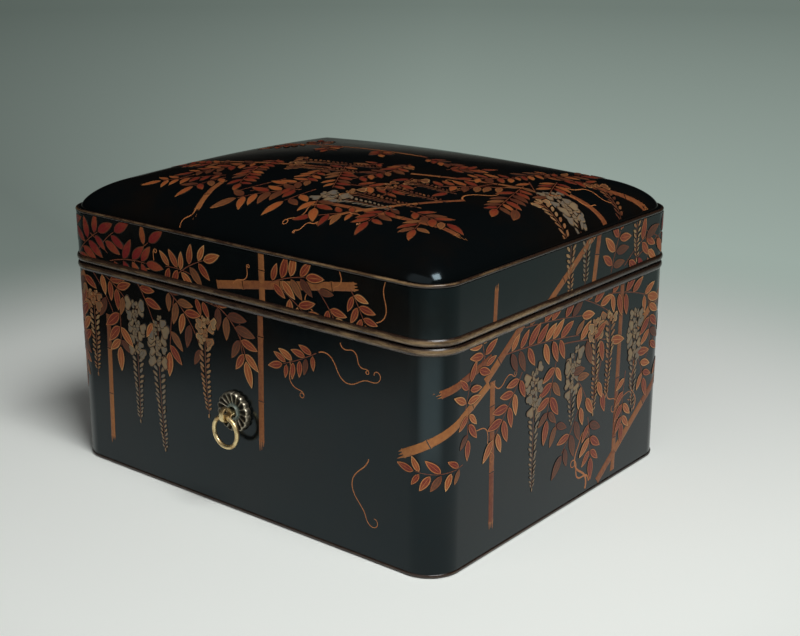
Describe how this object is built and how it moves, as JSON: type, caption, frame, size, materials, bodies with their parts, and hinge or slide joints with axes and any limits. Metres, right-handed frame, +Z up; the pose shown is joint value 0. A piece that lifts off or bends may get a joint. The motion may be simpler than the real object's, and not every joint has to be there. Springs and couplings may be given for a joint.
{
  "type": "lacquered cosmetic box",
  "caption": "Rectangular lacquered wooden cosmetic box with rounded corners, a crowned lift-off lid, an inner tray and hanging cord rings on rosettes.",
  "frame": {"origin": "middle of the underside, on the surface that the box stands on", "axes": "+X along the length to the right seen from the front, +Y to the rear (the front faces -Y), +Z up"},
  "size_m": [0.3056, 0.2746, 0.1968],
  "materials": {
    "black_lacquer": "polished black lacquer over wood",
    "bead_lacquer": "worn brown-gold lacquer on the beads",
    "inner_lacquer": "red-brown lacquer sprinkled with gold",
    "brass": "gilt brass, worn",
    "bronze": "dark patinated bronze"
  },
  "bodies": {
    "case": {"case_front_wall": "black_lacquer", "case_rear_wall": "black_lacquer", "case_left_wall": "black_lacquer", "case_right_wall": "black_lacquer", "case_corner_posts": "black_lacquer", "case_floor": "black_lacquer", "case_foot_bead": "bead_lacquer", "case_mouth_bead": "bead_lacquer", "case_mouth_lip": "inner_lacquer", "front_rosette": "bronze", "front_collar": "bronze", "front_eye": "brass", "front_clinch_plate": "bronze", "rear_rosette": "bronze", "rear_collar": "bronze", "rear_eye": "brass", "rear_clinch_plate": "bronze"},
    "lid": {"lid_front_wall": "black_lacquer", "lid_rear_wall": "black_lacquer", "lid_left_wall": "black_lacquer", "lid_right_wall": "black_lacquer", "lid_corner_posts": "black_lacquer", "lid_crown": "black_lacquer", "lid_ridge_bead": "bead_lacquer", "lid_mouth_bead": "bead_lacquer"},
    "tray": {"tray_floor": "inner_lacquer", "tray_front_wall": "inner_lacquer", "tray_rear_wall": "inner_lacquer", "tray_left_wall": "inner_lacquer", "tray_right_wall": "inner_lacquer", "tray_corner_pieces": "inner_lacquer", "tray_rim": "bead_lacquer"},
    "front_cord_ring": {"front_ring": "brass"},
    "rear_cord_ring": {"rear_ring": "brass"}
  },
  "joints": [
    {"name": "lid_lift", "type": "slide", "parent": "case", "child": "lid", "axis": [0, 0, 1], "range_m": [0, 0.18]},
    {"name": "tray_lift", "type": "slide", "parent": "case", "child": "tray", "axis": [0, 0, 1], "range_m": [0, 0.09]},
    {"name": "front_ring_swing", "type": "hinge", "parent": "case", "child": "front_cord_ring", "pos_m": [0, -0.134, 0.0643], "axis": [-1, 0, 0], "range_deg": [-22, 202]},
    {"name": "rear_ring_swing", "type": "hinge", "parent": "case", "child": "rear_cord_ring", "pos_m": [0, 0.134, 0.0643], "axis": [1, 0, 0], "range_deg": [-22, 202]}
  ],
  "couplings": [
    {"joint": "tray_lift", "follows": "lid_lift", "ratio": 0.5}
  ]
}
